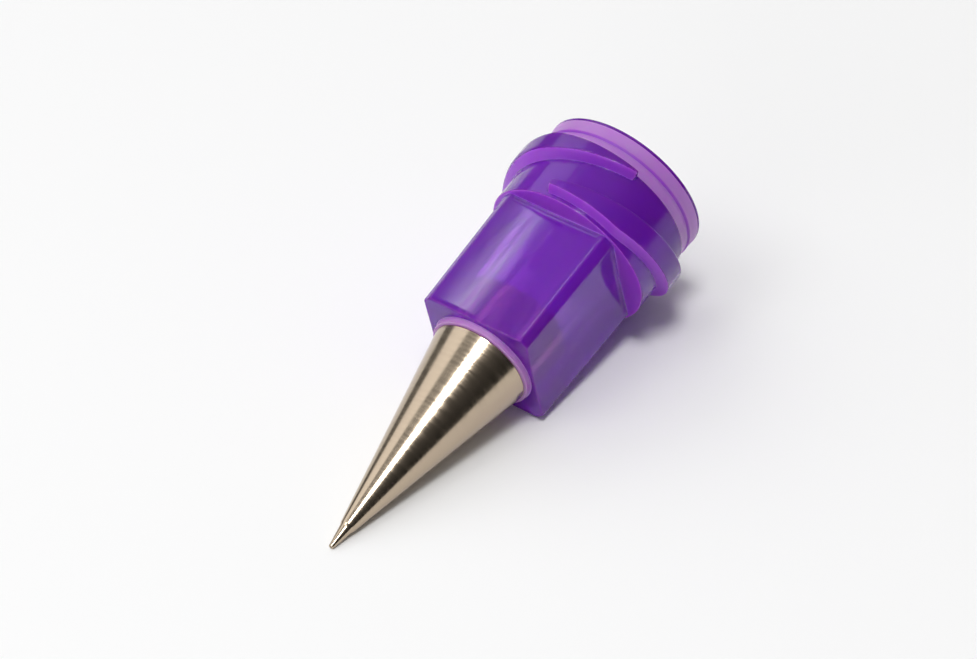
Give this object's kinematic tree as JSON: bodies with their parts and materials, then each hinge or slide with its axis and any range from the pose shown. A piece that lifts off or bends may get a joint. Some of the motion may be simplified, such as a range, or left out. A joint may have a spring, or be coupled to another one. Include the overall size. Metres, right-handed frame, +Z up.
{
  "type": "dispensing needle tip",
  "caption": "Tapered metal nozzle set in a square moulded hub with a female luer-lock fitting, for metering fine beads or dots of fluid from a syringe.",
  "frame": {"origin": "centre of the bounding box's bottom face, on the table that the tip lies on", "axes": "+X from the nozzle's mouth towards the hub's rear, +Z up, +Y to the left of the nozzle's mouth when looking along +X from the mouth; the axis of the tip climbs 13.4 degrees from -X to +X because it rests on its mouth and on its lugs"},
  "size_m": [0.02, 0.0078, 0.0082],
  "materials": {
    "hub": "translucent purple, gloss moulded",
    "nozzle": "turned and polished, fine turning marks"
  },
  "bodies": {
    "root": {"hub": "hub", "nozzle": "nozzle"}
  },
  "joints": []
}
